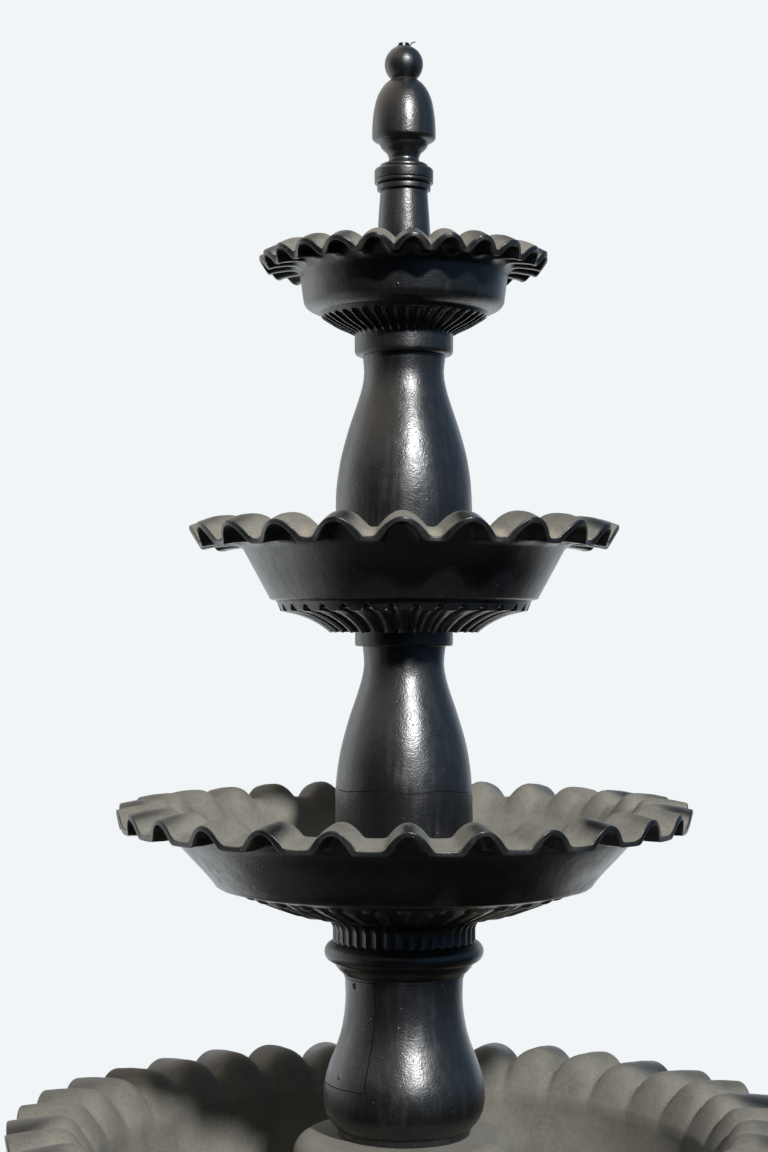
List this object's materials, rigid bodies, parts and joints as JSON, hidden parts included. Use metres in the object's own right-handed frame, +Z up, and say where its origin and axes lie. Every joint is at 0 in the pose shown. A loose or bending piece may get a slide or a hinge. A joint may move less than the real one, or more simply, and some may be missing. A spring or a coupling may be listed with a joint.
{
  "type": "tiered garden fountain",
  "caption": "Black cast garden fountain: scalloped bowls on baluster columns with an acorn finial over a wide scalloped basin, a pump hidden in the plinth and a screwed access panel.",
  "frame": {"origin": "on the ground, on the fountain's axis", "axes": "+Z up, +X to the right and +Y away from the viewer in the picture"},
  "size_m": [1.0978, 1.0978, 1.9194],
  "materials": {
    "black_cast": "gloss black enamel over a sand-cast skin, dusty on top",
    "dusty_cast": "black enamel dulled to grey by dry dust",
    "zinc_steel": "zinc plated, dull",
    "brass": "turned brass, dulled",
    "bright_ball": "polished plating",
    "black_rubber": "matt moulded rubber",
    "red_grip": "dipped vinyl",
    "pump_plastic": "fine moulded texture",
    "magnet": "moulded ferrite in resin"
  },
  "bodies": {
    "fountain": {"basin_foot": "black_cast", "basin": "black_cast", "basin_rim": "black_cast", "drain_bush": "brass", "drain_nut": "brass", "plinth": "dusty_cast", "anchor_bolts": "zinc_steel", "anchor_nuts": "zinc_steel", "lower_column": "black_cast", "lower_collar": "black_cast", "lower_bowl": "black_cast", "lower_rim": "black_cast", "middle_column": "black_cast", "middle_bowl": "black_cast", "middle_rim": "black_cast", "upper_column": "black_cast", "upper_bowl": "black_cast", "upper_rim": "black_cast", "spout_post": "black_cast", "post_collar": "black_cast", "finial_acorn": "black_cast", "finial_ball": "black_cast", "jet_nozzle": "zinc_steel", "nozzle_clip": "zinc_steel", "riser_lower": "zinc_steel", "riser_middle": "zinc_steel", "riser_upper": "zinc_steel", "pipe_couplings": "zinc_steel", "bowl_seals": "black_rubber", "nut_washers": "zinc_steel", "lock_nuts": "brass", "valve_body": "brass", "supply_hose": "black_rubber", "hose_clamps": "zinc_steel", "pump_outlet": "brass", "pump_housing": "pump_plastic", "pump_cover": "pump_plastic", "pump_strainer": "pump_plastic", "pump_feet": "black_rubber", "cable_gland": "black_rubber"},
    "panel": {"access_panel": "black_cast", "panel_screws": "zinc_steel"},
    "valve_lever_set": {"valve_ball": "bright_ball", "valve_stem": "brass", "valve_lever": "zinc_steel", "lever_grip": "red_grip", "lever_nut": "zinc_steel"},
    "pump_rotor": {"impeller": "pump_plastic", "motor_magnet": "magnet", "pump_shaft": "zinc_steel"},
    "plug": {"drain_plug": "black_rubber"}
  },
  "joints": [
    {"name": "panel_lift_off", "type": "slide", "parent": "fountain", "child": "panel", "axis": [-0.829, -0.5592, 0], "range_m": [0, 0.35]},
    {"name": "valve_turn", "type": "hinge", "parent": "fountain", "child": "valve_lever_set", "pos_m": [0, 0, 0.54], "axis": [-0.829, -0.5592, 0], "range_deg": [0, 90]},
    {"name": "impeller_spin", "type": "hinge", "parent": "fountain", "child": "pump_rotor", "pos_m": [0, 0, 0.182], "axis": [1, 0, 0], "continuous": true},
    {"name": "drain_plug_lift", "type": "slide", "parent": "fountain", "child": "plug", "axis": [0, 0, 1], "range_m": [0, 0.12]}
  ]
}
